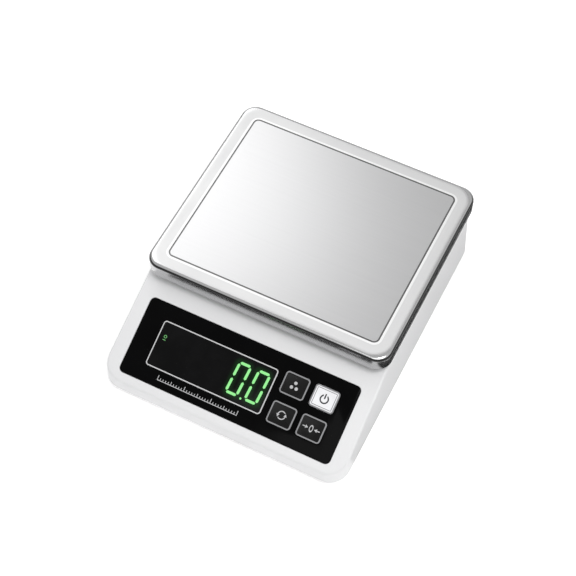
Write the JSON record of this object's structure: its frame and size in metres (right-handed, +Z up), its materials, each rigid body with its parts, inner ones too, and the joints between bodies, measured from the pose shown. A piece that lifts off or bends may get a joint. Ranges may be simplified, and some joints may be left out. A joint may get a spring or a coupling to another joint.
{
  "type": "digital gram scale",
  "caption": "Bench gram scale: low wedge housing, square steel weighing pan, sloping control panel with lit numeric display and push keys.",
  "frame": {"origin": "centre of the overall box, on the surface that the feet stand on", "axes": "+X to the scale's right seen from its front, +Y from the control panel to the back, +Z up"},
  "size_m": [0.1772, 0.2154, 0.061],
  "materials": {
    "white_abs": "fine moulded satin",
    "grey_abs": "moulded",
    "satin_stainless": "satin brushed panel with a polished rim",
    "panel_gloss": "gloss",
    "smoked_window": "gloss smoked lens",
    "key_black": "semi-gloss with a printed outline",
    "key_white": "semi-gloss with a printed outline",
    "led_block": "matt",
    "circuit_board": "solder mask",
    "chip_plastic": "matt",
    "machined_aluminium": "machined",
    "screw_steel": "plated",
    "spring_steel": "plated strip",
    "grey_rubber": "matt",
    "silicone": "matt",
    "cell_sleeve": "shrink sleeve",
    "lead_sleeve": "soft sleeve"
  },
  "bodies": {
    "housing": {"upper_housing": "white_abs", "base": "white_abs", "housing_gasket": "silicone", "panel_overlay": "panel_gloss", "display_window": "smoked_window", "led_display": "led_block", "main_board": "circuit_board", "controller_chip": "chip_plastic", "lead_connector": "chip_plastic", "load_cell": "machined_aluminium", "load_cell_spacer": "machined_aluminium", "gauge_coating": "silicone", "post_seal": "silicone", "battery_cell_left": "cell_sleeve", "battery_cell_right": "cell_sleeve", "battery_contact_front": "spring_steel", "battery_contact_back": "spring_steel", "battery_cover": "white_abs", "battery_seal": "silicone", "battery_cover_screw_front": "screw_steel", "battery_cover_screw_back": "screw_steel", "charge_socket": "spring_steel", "charge_board": "circuit_board", "anchor_bolt_front": "screw_steel", "anchor_bolt_back": "screw_steel", "load_cell_lead": "lead_sleeve", "battery_lead": "lead_sleeve", "charge_lead": "lead_sleeve", "housing_screw_front_left": "screw_steel", "board_screw_front_left": "screw_steel", "foot_front_left": "grey_rubber", "housing_screw_front_right": "screw_steel", "board_screw_front_right": "screw_steel", "foot_front_right": "grey_rubber", "housing_screw_back_left": "screw_steel", "board_screw_back_left": "screw_steel", "foot_back_left": "grey_rubber", "housing_screw_back_right": "screw_steel", "board_screw_back_right": "screw_steel", "foot_back_right": "grey_rubber", "switch_pcs": "chip_plastic", "switch_on_off": "chip_plastic", "switch_mode": "chip_plastic", "switch_tare": "chip_plastic"},
    "carrier": {"carrier": "grey_abs", "load_cell_post": "machined_aluminium", "post_bolt_front": "screw_steel", "post_bolt_back": "screw_steel", "pan_pad_front_left": "grey_rubber", "pan_pad_front_right": "grey_rubber", "pan_pad_back_left": "grey_rubber", "pan_pad_back_right": "grey_rubber"},
    "pan": {"pan": "satin_stainless"},
    "port_plug": {"port_plug": "grey_rubber"},
    "key_pcs": {"key_pcs": "key_black"},
    "key_on_off": {"key_on_off": "key_white"},
    "key_mode": {"key_mode": "key_black"},
    "key_tare": {"key_tare": "key_black"}
  },
  "joints": [
    {"name": "load_deflection", "type": "slide", "parent": "housing", "child": "carrier", "axis": [0, 0, -1], "range_m": [0, 0.0006], "stiffness_N_per_m": 75000, "deforming": ["load_cell"]},
    {"name": "pan_lift_off", "type": "slide", "parent": "carrier", "child": "pan", "axis": [0, 0, 1], "range_m": [0, 0.03]},
    {"name": "key_pcs_press", "type": "slide", "parent": "housing", "child": "key_pcs", "axis": [0, 0.3987, -0.9171], "range_m": [0, 0.0006], "stiffness_N_per_m": 2500},
    {"name": "key_on_off_press", "type": "slide", "parent": "housing", "child": "key_on_off", "axis": [0, 0.3987, -0.9171], "range_m": [0, 0.0006], "stiffness_N_per_m": 2500},
    {"name": "key_mode_press", "type": "slide", "parent": "housing", "child": "key_mode", "axis": [0, 0.3987, -0.9171], "range_m": [0, 0.0006], "stiffness_N_per_m": 2500},
    {"name": "key_tare_press", "type": "slide", "parent": "housing", "child": "key_tare", "axis": [0, 0.3987, -0.9171], "range_m": [0, 0.0006], "stiffness_N_per_m": 2500},
    {"name": "port_plug_pull", "type": "slide", "parent": "housing", "child": "port_plug", "axis": [0, 1, 0], "range_m": [0, 0.012]}
  ]
}
